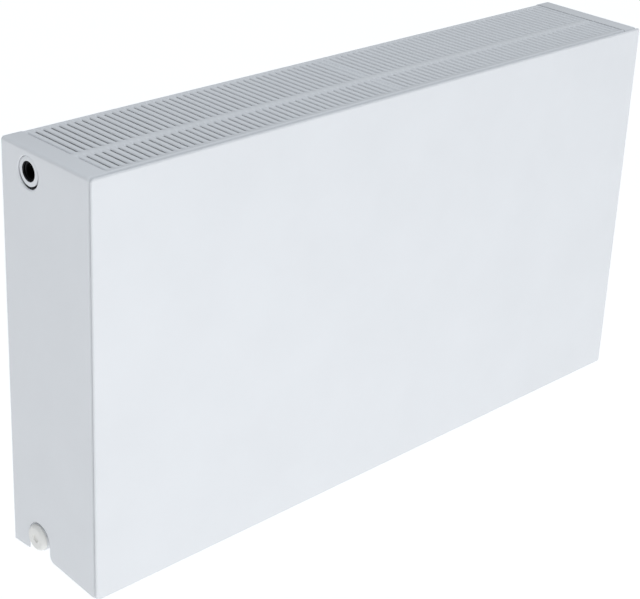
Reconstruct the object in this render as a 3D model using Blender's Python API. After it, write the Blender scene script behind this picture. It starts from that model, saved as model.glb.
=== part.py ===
"""A flat-fronted steel panel radiator with a built-in thermostatic valve insert.

Three water panels and three convectors hang behind a plain front plate, between two side covers and under a
slotted grille. The valve insert screws into the top right connection.

While modelling, X runs along the radiator from its middle, Y runs back from the front face and Z runs up from
the bottom edge. One empty carries everything into the finished frame, whose origin lies midway between the
two upper hanging lugs, on the plane that meets the wall brackets.
"""

from math import cos, pi, radians, sin

import bmesh
import bpy
from mathutils import Matrix, Vector

# Overall size, in metres.
LENGTH = 0.900
HEIGHT = 0.500
GAP = 0.0003

# Water panels: two half shells each, pressed into headers and upright channels.
SHEET = 0.0012
PANEL_LENGTH = 0.888
PANEL_HEIGHT = 0.489
PANEL_MIDDLE_Z = 0.2515
PANEL_DEPTH = 0.012
FRONT_PANEL_Y = 0.011
MIDDLE_PANEL_Y = 0.0655
REAR_PANEL_Y = 0.1535
SEAM_WIDTH = 0.005
PRESS_SLOPE = 0.003
HEADER_HEIGHT = 0.0275
CHANNELS = 26
CHANNEL_PITCH = 0.1 / 3
CHANNEL_WIDTH = 0.018

# Convectors, welded to the backs of the channels.
FIN_SHEET = 0.0005
FIN_DEPTH = 0.033
FIN_FOOT = 0.010
FIN_NOSE = 0.014
FIN_BOTTOM = 0.050
FIN_TOP = 0.453
LEFT_FINS = (0, 11)
RIGHT_FINS = (12, 25)
SHORT_RIGHT_FINS = (12, 23)

# Connections: the side sockets and the bottom nipples.
HUB_X = 0.418
HUB_Y = 0.1095
HUB_LOW_Z = 0.0285
HUB_HIGH_Z = 0.4745
HUB_RADIUS = 0.0115
HUB_BORE = 0.0085
SOCKET_RADIUS = 0.0165
SOCKET_BORE = 0.010
SOCKET_FACE_X = 0.449
RISER_X = 0.368
RISER_RADIUS = 0.008
RISER_WALL = 0.0015
RISER_BEND = 0.020
RISER_COLLAR = 0.0145
NIPPLE_RADIUS = 0.0132
NIPPLE_TAIL_RADIUS = 0.011
NIPPLE_BORE = 0.009
NIPPLE_END_Z = 0.001
NIPPLE_SHOULDER_Z = 0.0085
BRIDGE_SHEET = 0.0025
PLUG_HEAD = 0.005
PLUG_NOSE = 0.0125
KEY_RECESS = 0.0048

# Front plate, side covers and grille.
FRONT_SHEET = 0.0012
FRONT_RETURN = 0.0025
COVER_SHEET = 0.001
COVER_FRONT_Y = 0.0045
COVER_BACK_Y = 0.1595
COVER_TOP_WIDTH = 0.0255
COVER_LIP = 0.009
COVER_BEND = 0.005
COVER_HOLE = 0.0185
COVER_HOLE_Z = 0.4733
NOTCH_RADIUS = 0.0193
NOTCH_Y = 0.107
GRILLE_TOP_Z = 0.4990
GRILLE_SHEET = 0.001
GRILLE_FRONT_Y = 0.0052
GRILLE_BACK_Y = 0.1590
GRILLE_LIP = 0.003
SUPPORT_WIDTH = 0.015
SUPPORT_SHEET = 0.0008
SUPPORT_OVERHANG = 0.0035
BONDED_CHANNELS = (3, 9, 16, 22)
SLOT_PITCH = 0.010
SLOT_WIDTH = 0.005
SLOTS = 84
FRONT_ROW = (0.015, 0.064)
REAR_ROW = (0.072, 0.152)

# Hanging lugs on the back.
LUG_X = 0.300
LUG_LOW_Z = 0.110
LUG_HIGH_Z = 0.410
LUG_HEIGHT = 0.040
LUG_SHEET = 0.002
LUG_BACK_Y = 0.168
LUG_BRIDGE = 0.030
LUG_FOOT = 0.010

# Valve insert, along X from the hub's centre line outwards.
SEAT_X = 0.405
SEAT_FACE_X = 0.407
VALVE_TRAVEL = 0.003
DISC_THICKNESS = 0.003
BODY_RADIUS = 0.0097
BODY_END_X = 0.459
HEAD_RADIUS = 0.015
CAGE_END_X = 0.4265
SPRING_X = 0.430
SPRING_BORE = 0.0052
COLLAR_X = 0.445
STEM_RADIUS = 0.002
STEM_BORE = STEM_RADIUS + GAP
STEM_END_X = 0.465
PRESET_RADIUS = 0.011
PRESET_END_X = 0.4618
CAP_RADIUS = 0.0174
CAP_BORE = 0.0156
CAP_SKIRT_X = 0.4525
CAP_END_X = 0.4685

ROUND = 16
SMALL_ROUND = 12


def finish(name, colour, roughness, metallic=0.0):
    """A material with one Principled shader; the colour is linear."""
    made = bpy.data.materials.new(name)
    made.use_nodes = True
    shader = made.node_tree.nodes["Principled BSDF"]
    shader.inputs["Base Color"].default_value = (*colour, 1.0)
    shader.inputs["Roughness"].default_value = roughness
    shader.inputs["Metallic"].default_value = metallic
    return made


def hang(piece, at=(0, 0, 0), turn=Matrix()):
    """Links an object and hangs it on the frame empty."""
    bpy.context.scene.collection.objects.link(piece)
    piece.parent = frame
    piece.matrix_local = Matrix.Translation(at) @ turn.to_4x4()
    return piece


def as_object(name, bm, look, smooth):
    """A new object that holds the bmesh; round pieces are shaded smooth up to their sharp edges."""
    mesh = bpy.data.meshes.new(name)
    bm.to_mesh(mesh)
    bm.free()
    mesh.materials.append(look)
    if smooth:
        mesh.shade_smooth()
        mesh.set_sharp_from_angle(angle=radians(40))
    return bpy.data.objects.new(name, mesh)


def add_piece(name, bm, look, at=(0, 0, 0), turn=Matrix(), smooth=False):
    """A closed piece, with its faces pointing out."""
    bmesh.ops.recalc_face_normals(bm, faces=bm.faces)
    return hang(as_object(name, bm, look, smooth), at, turn)


def add_sheet(name, bm, look, thickness, facing, offset=-1.0, at=(0, 0, 0), turn=Matrix(), smooth=False):
    """A sheet made from an open surface whose main side faces one way and which thickens to the other."""
    bmesh.ops.recalc_face_normals(bm, faces=bm.faces)
    facing = Vector(facing)
    if sum(face.calc_area() * face.normal.dot(facing) for face in bm.faces) < 0:
        bmesh.ops.reverse_faces(bm, faces=bm.faces)
    sheet = hang(as_object(name, bm, look, smooth), at, turn)
    modify(
        sheet,
        "SOLIDIFY",
        solidify_mode="NON_MANIFOLD",
        nonmanifold_thickness_mode="CONSTRAINTS",
        nonmanifold_merge_threshold=0.0,
        thickness=thickness,
        offset=offset,
    )
    return sheet


def modify(piece, kind, **settings):
    modifier = piece.modifiers.new(kind.title(), kind)
    for key, value in settings.items():
        setattr(modifier, key, value)


def cut(piece, cutter):
    modify(piece, "BOOLEAN", operation="DIFFERENCE", solver="EXACT", object=cutter)


def add_cutter(name, bm, at=(0, 0, 0)):
    cutter = add_piece(name, bm, steel, at)
    cutter.hide_render = True
    cutter.display_type = "WIRE"
    return cutter


def rod(bm, start, end, radius, sides=ROUND):
    """Adds a closed cylinder between two points."""
    start = Vector(start)
    axis = Vector(end) - start
    turn = axis.to_track_quat("Z", "Y").to_matrix().to_4x4()
    bmesh.ops.create_cone(
        bm,
        cap_ends=True,
        segments=sides,
        radius1=radius,
        radius2=radius,
        depth=axis.length,
        matrix=Matrix.Translation(start + axis / 2) @ turn,
    )


def block(bm, low, high):
    """Adds a closed box between two corners."""
    low, high = Vector(low), Vector(high)
    shape = Matrix.Translation((low + high) / 2) @ Matrix.Diagonal((*(high - low), 1))
    bmesh.ops.create_cube(bm, size=1, matrix=shape)


def arc(centre, radius, start, end, steps):
    """Points on an arc, angles in degrees, both ends included."""
    angles = [radians(start + (end - start) * step / steps) for step in range(steps + 1)]
    return [(centre[0] + radius * cos(a), centre[1] + radius * sin(a)) for a in angles]


def prism(outline, width):
    """A closed bmesh: an outline of points in space, extruded by a vector."""
    bm = bmesh.new()
    face = bm.faces.new([bm.verts.new(point) for point in outline])
    top = bmesh.ops.extrude_face_region(bm, geom=[face])
    moved = [item for item in top["geom"] if isinstance(item, bmesh.types.BMVert)]
    bmesh.ops.translate(bm, vec=width, verts=moved)
    return bm


def strip(line, width):
    """An open bent sheet: a line of points in space, extruded by a vector."""
    bm = bmesh.new()
    verts = [bm.verts.new(point) for point in line]
    edges = [bm.edges.new(pair) for pair in zip(verts, verts[1:])]
    side = bmesh.ops.extrude_edge_only(bm, edges=edges)
    moved = [item for item in side["geom"] if isinstance(item, bmesh.types.BMVert)]
    bmesh.ops.translate(bm, vec=width, verts=moved)
    return bm


def turned(profile, sides=ROUND):
    """A profile of (along, radius) points spun about X, closed unless it starts and ends on the axis."""
    bm = bmesh.new()
    verts = [bm.verts.new((x, 0, radius)) for x, radius in profile]
    ends = verts[1:] if profile[0][1] == profile[-1][1] == 0 else verts[1:] + verts[:1]
    edges = [bm.edges.new(pair) for pair in zip(verts, ends)]
    bmesh.ops.spin(
        bm, geom=verts + edges, cent=(0, 0, 0), axis=(1, 0, 0), angle=2 * pi, steps=sides, use_merge=True
    )
    bmesh.ops.remove_doubles(bm, verts=bm.verts, dist=1e-6)
    return bm


def split(bm, faces, axis, cuts):
    """Cuts the given flat faces with planes across one axis, and returns all their pieces."""
    pieces = set(faces)
    for level in cuts:
        edges = {edge for face in pieces for edge in face.edges}
        verts = {vert for face in pieces for vert in face.verts}
        plane = Vector((0, 0, 0))
        plane[axis] = level
        normal = Vector((0, 0, 0))
        normal[axis] = 1
        made = bmesh.ops.bisect_plane(
            bm, geom=[*verts, *edges, *pieces], dist=1e-7, plane_co=plane, plane_no=normal
        )
        pieces = {item for item in made["geom"] if isinstance(item, bmesh.types.BMFace)}
    return list(pieces)


def between(faces, axis, low, high):
    return [face for face in faces if low < face.calc_center_median()[axis] < high]


def channel_x(index):
    return (index - (CHANNELS - 1) / 2) * CHANNEL_PITCH


# ---------------------------------------------------------------- water panels


def pressed_half():
    """One half shell lying flat: its seam lowest, its headers and channels pressed up towards +Z."""
    bm = bmesh.new()
    flat = Matrix.Diagonal((PANEL_LENGTH, PANEL_HEIGHT, 1, 1))
    bmesh.ops.create_grid(bm, x_segments=1, y_segments=1, size=0.5, matrix=flat)
    press = PANEL_DEPTH / 2 - GAP / 2 - SHEET
    field = bm.faces[:]
    bmesh.ops.inset_region(bm, faces=field, thickness=SEAM_WIDTH, use_boundary=True, use_even_offset=True)
    bmesh.ops.inset_region(bm, faces=field, thickness=PRESS_SLOPE, depth=press, use_even_offset=True)
    header_edge = PANEL_HEIGHT / 2 - SEAM_WIDTH - PRESS_SLOPE - HEADER_HEIGHT
    field = split(bm, field, 1, (-header_edge, header_edge))
    land_middles = [channel_x(index + 0.5) for index in range(CHANNELS - 1)]
    land_half = (CHANNEL_PITCH - CHANNEL_WIDTH) / 2
    cuts = [middle + step for middle in land_middles for step in (-land_half, land_half)]
    channels = split(bm, between(field, 1, -header_edge, header_edge), 0, cuts)
    lands = [face for middle in land_middles for face in between(channels, 0, middle - SHEET, middle + SHEET)]
    bmesh.ops.inset_individual(bm, faces=lands, thickness=PRESS_SLOPE, depth=-press, use_even_offset=True)
    bmesh.ops.translate(bm, vec=(0, 0, GAP / 2 + SHEET), verts=bm.verts)
    return bm


def make_panel(name, middle_y, water_holes, holed_sides):
    """A panel's two half shells, with water holes on the sides where hubs or spacers meet them."""
    for side, turn in (("front", 90), ("back", -90)):
        shell = add_sheet(
            f"{name}_{side}_shell",
            pressed_half(),
            white_paint,
            SHEET,
            facing=(0, 0, 1),
            at=(0, middle_y, PANEL_MIDDLE_Z),
            turn=Matrix.Rotation(radians(turn), 3, "X"),
        )
        if side in holed_sides:
            cut(shell, water_holes)


def make_panels():
    bm = bmesh.new()
    for x in (-HUB_X, HUB_X):
        for z in (HUB_LOW_Z, HUB_HIGH_Z):
            rod(bm, (x, FRONT_PANEL_Y, z), (x, REAR_PANEL_Y, z), HUB_BORE, SMALL_ROUND)
    water_holes = add_cutter("water_holes", bm)
    make_panel("front_panel", FRONT_PANEL_Y, water_holes, ("back",))
    make_panel("middle_panel", MIDDLE_PANEL_Y, water_holes, ("front", "back"))
    make_panel("rear_panel", REAR_PANEL_Y, water_holes, ("front",))


def make_convector(name, root_y, forward, fins):
    """A sheet folded into fins, whose feet sit on the channels from the first to the last one given."""
    first, last = fins
    nose_y = root_y + forward * FIN_DEPTH
    line = []
    for index in range(first, last + 1):
        foot = channel_x(index)
        line += [(foot - FIN_FOOT / 2, root_y), (foot + FIN_FOOT / 2, root_y)]
        if index < last:
            nose = channel_x(index + 0.5)
            line += [(nose - FIN_NOSE / 2, nose_y), (nose + FIN_NOSE / 2, nose_y)]
    bm = strip([(x, y, FIN_BOTTOM) for x, y in line], (0, 0, FIN_TOP - FIN_BOTTOM))
    add_sheet(name, bm, white_paint, FIN_SHEET, facing=(0, -1, 0), offset=0)


def make_convectors():
    """One convector in the front gap and two in the rear gap, which end short of the riser pipe."""
    root = PANEL_DEPTH / 2 + GAP + FIN_SHEET / 2
    for name, root_y, forward, right_fins in (
        ("front", FRONT_PANEL_Y + root, 1, RIGHT_FINS),
        ("middle", MIDDLE_PANEL_Y + root, 1, SHORT_RIGHT_FINS),
        ("rear", REAR_PANEL_Y - root, -1, SHORT_RIGHT_FINS),
    ):
        make_convector(f"{name}_convector_left", root_y, forward, LEFT_FINS)
        make_convector(f"{name}_convector_right", root_y, forward, right_fins)


# ---------------------------------------------------------------- hubs and pipes


def make_hub(name, side, z, riser_side=False):
    """A tee between the middle and rear panels, with a female socket at the side of the radiator."""
    front = MIDDLE_PANEL_Y + PANEL_DEPTH / 2 + GAP
    back = REAR_PANEL_Y - PANEL_DEPTH / 2 - GAP
    centre = side * HUB_X
    past = 0.01
    inner_end = centre - side * RISER_COLLAR if riser_side else centre
    bore_end = inner_end - side * past if riser_side else centre
    bm = bmesh.new()
    rod(bm, (centre, front, z), (centre, back, z), HUB_RADIUS)
    hub = add_piece(name, bm, white_paint, smooth=True)
    bm = bmesh.new()
    rod(bm, (inner_end, HUB_Y, z), (side * SOCKET_FACE_X, HUB_Y, z), SOCKET_RADIUS)
    modify(hub, "BOOLEAN", operation="UNION", solver="EXACT", object=add_cutter(f"{name}_socket", bm))
    bm = bmesh.new()
    rod(bm, (centre, front - past, z), (centre, back + past, z), HUB_BORE, SMALL_ROUND)
    cut(hub, add_cutter(f"{name}_tube_bore", bm))
    bm = bmesh.new()
    rod(bm, (bore_end, HUB_Y, z), (side * (SOCKET_FACE_X + past), HUB_Y, z), SOCKET_BORE)
    cut(hub, add_cutter(f"{name}_socket_bore", bm))


def make_spacer(name, x, z):
    """The ring that carries water between the front and middle panels."""
    front = FRONT_PANEL_Y + PANEL_DEPTH / 2 + GAP
    back = MIDDLE_PANEL_Y - PANEL_DEPTH / 2 - GAP
    profile = [(front, HUB_BORE), (front, HUB_RADIUS), (back, HUB_RADIUS), (back, HUB_BORE)]
    quarter = Matrix.Rotation(radians(90), 3, "Z")
    add_piece(name, turned(profile, SMALL_ROUND), white_paint, (x, 0, z), quarter, smooth=True)


def make_nipple(name, x, top_z):
    """A male nipple that points down, its tail going up through the bridge plate."""
    profile = [
        (NIPPLE_END_Z, NIPPLE_BORE),
        (NIPPLE_END_Z, NIPPLE_RADIUS - 0.001),
        (NIPPLE_END_Z + 0.001, NIPPLE_RADIUS),
        (NIPPLE_SHOULDER_Z, NIPPLE_RADIUS),
        (NIPPLE_SHOULDER_Z, NIPPLE_TAIL_RADIUS),
        (top_z, NIPPLE_TAIL_RADIUS),
        (top_z, NIPPLE_BORE),
    ]
    upright = Matrix.Rotation(radians(-90), 3, "Y")
    add_piece(name, turned(profile), steel, (x, HUB_Y, 0), upright, smooth=True)


def make_bottom_connections():
    make_nipple("supply_nipple", RISER_X, HUB_LOW_Z - HUB_RADIUS)
    make_nipple("return_nipple", HUB_X, HUB_LOW_Z - SOCKET_RADIUS - GAP)
    low_z = NIPPLE_SHOULDER_Z + GAP
    reach = NIPPLE_RADIUS + 0.003
    bm = bmesh.new()
    block(bm, (RISER_X - reach, HUB_Y - reach, low_z), (HUB_X + reach, HUB_Y + reach, low_z + BRIDGE_SHEET))
    bridge = add_piece("nipple_bridge", bm, steel)
    bm = bmesh.new()
    for x in (RISER_X, HUB_X):
        rod(bm, (x, HUB_Y, 0), (x, HUB_Y, low_z + 2 * BRIDGE_SHEET), NIPPLE_TAIL_RADIUS + GAP)
    cut(bridge, add_cutter("bridge_holes", bm))


def make_tube(name, route, radius, look, rings):
    """A curve object along the given points, round in section."""
    curve = bpy.data.curves.new(name, "CURVE")
    curve.dimensions = "3D"
    curve.bevel_depth = radius
    curve.bevel_resolution = rings
    curve.materials.append(look)
    spline = curve.splines.new("POLY")
    spline.points.add(len(route) - 1)
    for point, where in zip(spline.points, route):
        point.co = (*where, 1)
    return bpy.data.objects.new(name, curve)


def make_riser():
    """The supply pipe: straight up from its nipple, then one bend into the back of the valve hub."""
    start_z = HUB_LOW_Z - HUB_RADIUS + GAP
    bend = arc((RISER_X + RISER_BEND, HUB_HIGH_Z - RISER_BEND), RISER_BEND, 180, 90, 6)
    line = [(RISER_X, start_z), *bend, (SEAT_X - 2 * GAP, HUB_HIGH_Z)]
    pipe = hang(make_tube("riser_pipe", [(x, HUB_Y, z) for x, z in line], RISER_RADIUS, white_paint, 3))
    modify(pipe, "SOLIDIFY", thickness=RISER_WALL, offset=-1.0, use_even_offset=True)


# ---------------------------------------------------------------- casing


def make_front_plate():
    """The smooth front sheet, with its four edges folded straight back."""
    bm = bmesh.new()
    block(bm, (-LENGTH / 2, 0, 0), (LENGTH / 2, FRONT_RETURN, HEIGHT))
    back = [face for face in bm.faces if face.normal.y > 0.5]
    bmesh.ops.inset_region(bm, faces=back, thickness=FRONT_SHEET, use_even_offset=True)
    bmesh.ops.translate(bm, vec=(0, FRONT_SHEET - FRONT_RETURN, 0), verts=back[0].verts)
    front = [face for face in bm.faces if face.normal.y < -0.5]
    outer = [edge for face in front for edge in face.edges]
    bmesh.ops.bevel(bm, geom=outer, offset=0.001, segments=2, profile=0.5, affect="EDGES", material=-1)
    add_piece("front_plate", bm, white_paint)


def make_bonding_strips():
    """Adhesive strips that hold the front plate on the front panel's channels."""
    front = FRONT_SHEET + GAP
    back = FRONT_PANEL_Y - PANEL_DEPTH / 2 - GAP
    for number, index in enumerate(BONDED_CHANNELS, start=1):
        x = channel_x(index)
        bm = bmesh.new()
        block(bm, (x - FIN_FOOT / 2, front, FIN_BOTTOM), (x + FIN_FOOT / 2, back, FIN_TOP))
        add_piece(f"bonding_strip_{number}", bm, adhesive)


def cover_foot_outline():
    """The line of a side cover's foot: slightly sloped edges either side of the round-topped notch."""
    past = 0.002
    below = -0.010
    front_edge = [(COVER_FRONT_Y - past, 0.0015), (0.0790, 0.0080)]
    front_corner = arc((0.0805, 0.0150), 0.0070, -90, -15, 3)
    top = arc((NOTCH_Y, HUB_LOW_Z), NOTCH_RADIUS, 180, 0, 10)
    rear_corner = arc((0.1315, 0.0110), 0.0055, 195, 270, 3)
    rear_edge = [(0.1530, 0.0042), (COVER_BACK_Y + past, 0.0042)]
    ends = [(COVER_BACK_Y + past, below), (COVER_FRONT_Y - past, below)]
    return [*front_edge, *front_corner, *top, *rear_corner, *rear_edge, *ends]


def make_side_cover(name, side):
    """A bent cover: side face, top flange and two narrow lips, with a round hole and a notch for the hubs."""
    outer = side * LENGTH / 2
    inner = side * (LENGTH / 2 - COVER_TOP_WIDTH)
    lip_end = side * (LENGTH / 2 - COVER_LIP)
    bm = bmesh.new()
    block(bm, (min(outer, inner), COVER_FRONT_Y, 0), (max(outer, inner), COVER_BACK_Y, HEIGHT))
    lips = split(bm, [face for face in bm.faces if abs(face.normal.y) > 0.5], 0, (lip_end,))
    gone = [face for face in lips if abs(face.calc_center_median().x) < abs(lip_end)]
    gone += [face for face in bm.faces if face.normal.z < -0.5 or face.normal.x * side < -0.5]
    bmesh.ops.delete(bm, geom=gone, context="FACES")
    folds = [edge for edge in bm.edges if len(edge.link_faces) == 2]
    bmesh.ops.bevel(bm, geom=folds, offset=COVER_BEND, segments=3, profile=0.5, affect="EDGES", material=-1)
    cover = add_sheet(name, bm, white_paint, COVER_SHEET, facing=(side, 0, 0), smooth=True)
    hole_z = COVER_HOLE_Z if side < 0 else HUB_HIGH_Z
    bm = bmesh.new()
    rod(bm, (outer - side * 0.004, HUB_Y, hole_z), (outer + side * 0.004, HUB_Y, hole_z), COVER_HOLE)
    cut(cover, add_cutter(f"{name}_hole", bm))
    start = outer - side * 0.015
    bm = prism([(start, y, z) for y, z in cover_foot_outline()], (side * 0.020, 0, 0))
    cut(cover, add_cutter(f"{name}_foot", bm))


def make_grille():
    """The top sheet with two rows of slots, and a short folded lip along its front and its back."""
    half = LENGTH / 2 - COVER_TOP_WIDTH - GAP
    depth = GRILLE_BACK_Y - GRILLE_FRONT_Y
    flat = Matrix.Diagonal((2 * half, depth, 1, 1))
    flat = Matrix.Translation((0, GRILLE_FRONT_Y + depth / 2, GRILLE_TOP_Z)) @ flat
    bm = bmesh.new()
    bmesh.ops.create_grid(bm, x_segments=1, y_segments=1, size=0.5, matrix=flat)
    strips = split(bm, bm.faces, 1, (*FRONT_ROW, *REAR_ROW))
    middles = [(index - (SLOTS - 1) / 2) * SLOT_PITCH for index in range(SLOTS)]
    cuts = [middle + step for middle in middles for step in (-SLOT_WIDTH / 2, SLOT_WIDTH / 2)]
    for row in (FRONT_ROW, REAR_ROW):
        bars = split(bm, between(strips, 1, *row), 0, cuts)
        slots = [face for middle in middles for face in between(bars, 0, middle - GAP, middle + GAP)]
        bmesh.ops.delete(bm, geom=slots, context="FACES")
    ends = (GRILLE_FRONT_Y, GRILLE_BACK_Y)
    rims = [edge for edge in bm.edges if all(min(abs(v.co.y - end) for end in ends) < GAP for v in edge.verts)
            and abs(edge.verts[0].co.y - edge.verts[1].co.y) < GAP]
    lip = bmesh.ops.extrude_edge_only(bm, edges=rims)
    moved = [item for item in lip["geom"] if isinstance(item, bmesh.types.BMVert)]
    bmesh.ops.translate(bm, vec=(0, 0, -GRILLE_LIP), verts=moved)
    add_sheet("top_grille", bm, white_paint, GRILLE_SHEET, facing=(0, 0, 1))


def make_grille_support():
    """A light strap across the three panels' top seams, under the middle of the grille."""
    top = PANEL_MIDDLE_Z + PANEL_HEIGHT / 2 + GAP
    foot = top - 0.005
    front = FRONT_PANEL_Y - SUPPORT_OVERHANG
    back = REAR_PANEL_Y + SUPPORT_OVERHANG
    line = [(0, front, foot), (0, front, top), (0, back, top), (0, back, foot)]
    bm = strip(line, (SUPPORT_WIDTH, 0, 0))
    add_sheet("grille_support", bm, white_paint, SUPPORT_SHEET, facing=(0, 0, 1), offset=1.0)


def make_grille_clips():
    """Plastic clips that grip the middle panel's top seam and carry the grille's divider."""
    top = PANEL_MIDDLE_Z + PANEL_HEIGHT / 2
    roof = GRILLE_TOP_Z - GRILLE_SHEET - GAP
    inner = SHEET + 2 * GAP
    outer = inner + 0.0012
    foot = top - 0.004
    right_half = [(inner, top + GAP), (inner, foot), (outer, foot), (outer, roof)]
    left_half = [(-y, z) for y, z in reversed(right_half)]
    width = 0.012
    for number, x in enumerate((-0.38, -0.13, 0.13, 0.38), start=1):
        outline = [(x - width / 2, MIDDLE_PANEL_Y + y, z) for y, z in right_half + left_half]
        add_piece(f"grille_clip_{number}", prism(outline, (width, 0, 0)), white_plastic)


def make_lugs():
    """Hanging lugs: two welded feet and a raised bridge that a wall bracket's hook goes behind."""
    root = REAR_PANEL_Y + PANEL_DEPTH / 2 + GAP
    bridge = LUG_BACK_Y - LUG_SHEET
    half = LUG_BRIDGE / 2
    end = half + LUG_FOOT
    line = [(-end, root), (-half, root), (-half, bridge), (half, bridge), (half, root), (end, root)]
    for height, z in (("top", LUG_HIGH_Z), ("bottom", LUG_LOW_Z)):
        for side, x in (("left", -LUG_X), ("right", LUG_X)):
            points = [(x + u, y, z - LUG_HEIGHT / 2) for u, y in line]
            bm = strip(points, (0, 0, LUG_HEIGHT))
            add_sheet(f"lug_{height}_{side}", bm, white_paint, LUG_SHEET, facing=(0, 1, 0), offset=1.0)


# ---------------------------------------------------------------- plugs


def make_plug(name, turn):
    """A white blanking plug: threaded shank, domed round head and a shallow recess for the key."""
    face = SOCKET_FACE_X + GAP
    end = face + PLUG_HEAD
    rim = 0.0005
    profile = [
        (face - 0.012, 0),
        (face - 0.012, BODY_RADIUS),
        (face, BODY_RADIUS),
        (face, SOCKET_RADIUS),
        (face + 0.0012, SOCKET_RADIUS),
        (face + 0.0032, SOCKET_RADIUS - 0.0012),
        (end - 0.0004, PLUG_NOSE + 0.0008),
        (end, PLUG_NOSE),
        (end, KEY_RECESS),
        (end - 0.002, KEY_RECESS - rim),
        (end - 0.002, 0),
    ]
    add_piece(name, turned(profile), white_plastic, (0, HUB_Y, HUB_LOW_Z), turn, smooth=True)


# ---------------------------------------------------------------- valve


def on_valve_axis(name, profile, look, sides=ROUND):
    """A turned piece whose profile runs out along X, with its origin on the valve's axis."""
    return add_piece(name, turned(profile, sides), look, (0, HUB_Y, HUB_HIGH_Z), smooth=True)


def bush(name, look, low_x, high_x, inner, outer, sides=ROUND):
    profile = [(low_x, inner), (low_x, outer), (high_x, outer), (high_x, inner)]
    on_valve_axis(name, profile, look, sides)


def make_valve_body():
    """The brass cartridge: seat at its inner end, cage, threaded shank and the outer connection thread."""
    head_x = SOCKET_FACE_X + GAP
    seat_bore = 0.0045
    cage_bore = 0.0078
    profile = [
        (SEAT_X, seat_bore),
        (SEAT_X, BODY_RADIUS),
        (head_x, BODY_RADIUS),
        (head_x, HEAD_RADIUS),
        (BODY_END_X, HEAD_RADIUS),
        (BODY_END_X, SPRING_BORE),
        (SPRING_X, SPRING_BORE),
        (SPRING_X, STEM_BORE),
        (CAGE_END_X, STEM_BORE),
        (CAGE_END_X, cage_bore),
        (SEAT_FACE_X, cage_bore),
        (SEAT_FACE_X, seat_bore),
    ]
    body = on_valve_axis("valve_body", profile, brass)
    window = 0.004
    far = 2 * BODY_RADIUS
    low_x = SEAT_FACE_X + 0.005
    high_x = CAGE_END_X - 0.0025
    for name, reach in (("y", (far, window)), ("z", (window, far))):
        bm = bmesh.new()
        block(bm, (low_x, -reach[0], -reach[1]), (high_x, reach[0], reach[1]))
        cut(body, add_cutter(f"cage_windows_{name}", bm, (0, HUB_Y, HUB_HIGH_Z)))


def make_stem():
    """The stem: a plate behind the rubber disc, a collar for the spring and a pin that the cap presses on."""
    disc_x = SEAT_FACE_X + VALVE_TRAVEL + GAP
    disc_end = disc_x + DISC_THICKNESS
    plate_x = disc_end + GAP
    plate_end = plate_x + 0.0012
    collar_end = COLLAR_X + 0.001
    disc_radius = 0.0060
    plate_radius = 0.0050
    collar_radius = 0.0046
    disc = [(disc_x, 0), (disc_x, disc_radius), (disc_end, disc_radius), (disc_end, 0)]
    on_valve_axis("valve_disc", disc, rubber, SMALL_ROUND)
    stem = [
        (plate_x, 0),
        (plate_x, plate_radius),
        (plate_end, plate_radius),
        (plate_end, STEM_RADIUS),
        (COLLAR_X, STEM_RADIUS),
        (COLLAR_X, collar_radius),
        (collar_end, collar_radius),
        (collar_end, STEM_RADIUS),
        (STEM_END_X, STEM_RADIUS),
        (STEM_END_X, 0),
    ]
    on_valve_axis("valve_stem", stem, steel, SMALL_ROUND)


def make_return_spring():
    """The coil that pushes the stem out, between the body's shoulder and the stem's collar."""
    wire = 0.0004
    radius = 0.0036
    coils = 3
    steps = 8
    low_x = SPRING_X + GAP + wire
    travel = COLLAR_X - GAP - wire - low_x
    count = coils * steps
    angles = [2 * pi * step / steps for step in range(count + 1)]
    route = [
        (low_x + travel * step / count, radius * cos(angle), radius * sin(angle))
        for step, angle in enumerate(angles)
    ]
    spring = make_tube("return_spring", route, wire, steel, 1)
    spring.data.use_fill_caps = True
    hang(spring, (0, HUB_Y, HUB_HIGH_Z))


def make_valve():
    make_valve_body()
    make_stem()
    make_return_spring()
    nut_x = COLLAR_X + 0.0045
    bush("gland_o_ring", rubber, nut_x - GAP - 0.0018, nut_x - GAP, STEM_BORE, SPRING_BORE - GAP, SMALL_ROUND)
    bush("gland_nut", brass, nut_x, BODY_END_X + GAP, STEM_BORE, SPRING_BORE - GAP, SMALL_ROUND)
    bush("preset_ring", grey_plastic, BODY_END_X + 2 * GAP, PRESET_END_X, STEM_BORE, PRESET_RADIUS)


def make_cap():
    """The hand cap: a deep round cap over the valve's outer thread, whose roof presses on the stem."""
    edge = 0.001
    profile = [
        (STEM_END_X + GAP, 0),
        (STEM_END_X + GAP, CAP_BORE),
        (CAP_SKIRT_X, CAP_BORE),
        (CAP_SKIRT_X, CAP_RADIUS),
        (CAP_END_X - edge, CAP_RADIUS),
        (CAP_END_X, CAP_RADIUS - edge),
        (CAP_END_X, 0),
    ]
    on_valve_axis("hand_cap", profile, white_plastic)


# ---------------------------------------------------------------- the whole radiator

for old in list(bpy.data.objects):
    bpy.data.objects.remove(old)

white_paint = finish("white_enamel_steel", (0.83, 0.84, 0.85), 0.35)
white_plastic = finish("white_plastic", (0.86, 0.86, 0.84), 0.45)
grey_plastic = finish("grey_plastic", (0.25, 0.26, 0.27), 0.5)
steel = finish("zinc_plated_steel", (0.60, 0.60, 0.58), 0.35, 1.0)
brass = finish("machined_brass", (0.72, 0.55, 0.25), 0.3, 1.0)
rubber = finish("black_rubber", (0.02, 0.02, 0.02), 0.8)
adhesive = finish("grey_adhesive", (0.35, 0.35, 0.34), 0.7)

frame = bpy.data.objects.new("radiator", None)
frame.location = (0, -LUG_BACK_Y, -LUG_HIGH_Z)
bpy.context.scene.collection.objects.link(frame)

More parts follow.
